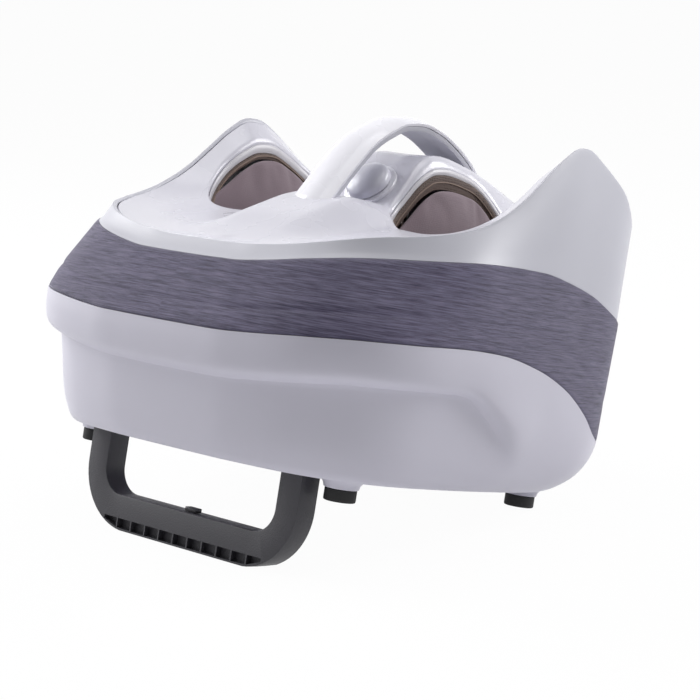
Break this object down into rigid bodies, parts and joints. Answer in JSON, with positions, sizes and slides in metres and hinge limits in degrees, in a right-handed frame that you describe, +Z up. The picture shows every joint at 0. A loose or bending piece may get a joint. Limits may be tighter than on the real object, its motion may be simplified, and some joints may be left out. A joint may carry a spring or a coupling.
{
  "type": "foot massager",
  "caption": "Free-standing foot massager with foot wells, winged sides, a woven band, an arched carry handle, a turning dial and a fold-out stand that leans it back.",
  "frame": {"origin": "middle of the footprint's box, on the ground, with the machine leaning back on its unfolded stand", "axes": "+X to the right seen from the toe end, +Y from the toe end to the heel end, +Z up"},
  "size_m": [0.432, 0.4436, 0.3342],
  "materials": {
    "gloss_white": "glossy moulded",
    "satin_white": "satin moulded",
    "lilac_white": "satin moulded",
    "warm_white": "satin moulded",
    "heather_fabric": "woven",
    "mauve_fabric": "padded knit",
    "brown_mesh": "open mesh",
    "charcoal_nylon": "fine grain",
    "black_rubber": "matte",
    "steel": "ground",
    "brass": "turned",
    "acetal": "moulded",
    "board_green": "laminate",
    "silicone": "soft",
    "black_plastic": "moulded",
    "heater_film": "film"
  },
  "bodies": {
    "housing": {"top_shell": "gloss_white", "side_collar": "satin_white", "fabric_band": "heather_fabric", "band_carrier": "black_plastic", "lower_shell": "lilac_white", "base_plate": "lilac_white", "handle_cover": "gloss_white", "handle_grip": "satin_white", "dial_ring": "warm_white", "dial_encoder": "black_plastic", "well_lip_left": "warm_white", "well_lip_right": "warm_white", "mesh_strip_left": "brown_mesh", "mesh_strip_right": "brown_mesh", "well_liner_left": "mauve_fabric", "well_liner_right": "mauve_fabric", "sole_frame_left": "black_plastic", "sole_frame_right": "black_plastic", "heater_film_left": "heater_film", "heater_film_right": "heater_film", "instep_cushion_left": "silicone", "instep_cushion_right": "silicone", "ankle_cushion_left": "silicone", "ankle_cushion_right": "silicone", "gear_case": "black_plastic", "gear_case_lid": "black_plastic", "front_worm_bush": "brass", "rear_worm_bush": "brass", "motor": "steel", "motor_cradle": "black_plastic", "front_bearing_block_left": "charcoal_nylon", "front_bearing_block_right": "charcoal_nylon", "rear_bearing_block_left": "charcoal_nylon", "rear_bearing_block_right": "charcoal_nylon", "air_pump": "black_plastic", "valve_block": "acetal", "air_hose_left": "silicone", "air_hose_right": "silicone", "control_board": "board_green", "power_board": "board_green", "power_inlet": "black_plastic", "rubber_foot_toe_left": "black_rubber", "rubber_foot_toe_right": "black_rubber", "rubber_foot_heel_left": "black_rubber", "rubber_foot_heel_right": "black_rubber", "stand_pin_left": "steel", "stand_pin_right": "steel"},
    "fold_out_stand": {"stand": "charcoal_nylon", "stand_latch": "charcoal_nylon"},
    "dial": {"dial_knob": "satin_white"},
    "front_drive": {"front_shaft": "steel", "front_worm_wheel": "acetal", "front_roller_left": "silicone", "front_roller_right": "silicone"},
    "rear_drive": {"rear_shaft": "steel", "rear_worm_wheel": "acetal", "rear_roller_left": "silicone", "rear_roller_right": "silicone"},
    "worm_drive": {"worm_shaft": "steel"}
  },
  "joints": [
    {"name": "stand_fold", "type": "hinge", "parent": "housing", "child": "fold_out_stand", "pos_m": [0, -0.1658, 0.08751], "axis": [1, 0, 0], "range_deg": [0, 90]},
    {"name": "dial_turn", "type": "hinge", "parent": "housing", "child": "dial", "pos_m": [0, 0.04348, 0.27475], "axis": [0, -0.5955, 0.8033], "continuous": true},
    {"name": "front_drive_spin", "type": "hinge", "parent": "housing", "child": "front_drive", "pos_m": [0, -0.03424, 0.07866], "axis": [1, 0, 0], "continuous": true},
    {"name": "rear_drive_spin", "type": "hinge", "parent": "housing", "child": "rear_drive", "pos_m": [0, 0.05523, 0.05727], "axis": [1, 0, 0], "continuous": true},
    {"name": "worm_spin", "type": "hinge", "parent": "housing", "child": "worm_drive", "pos_m": [0, -0.06443, 0.1158], "axis": [0, 0.9726, -0.2326], "continuous": true}
  ],
  "couplings": [
    {"joint": "rear_drive_spin", "follows": "front_drive_spin", "ratio": 1},
    {"joint": "worm_spin", "follows": "front_drive_spin", "ratio": 24}
  ]
}
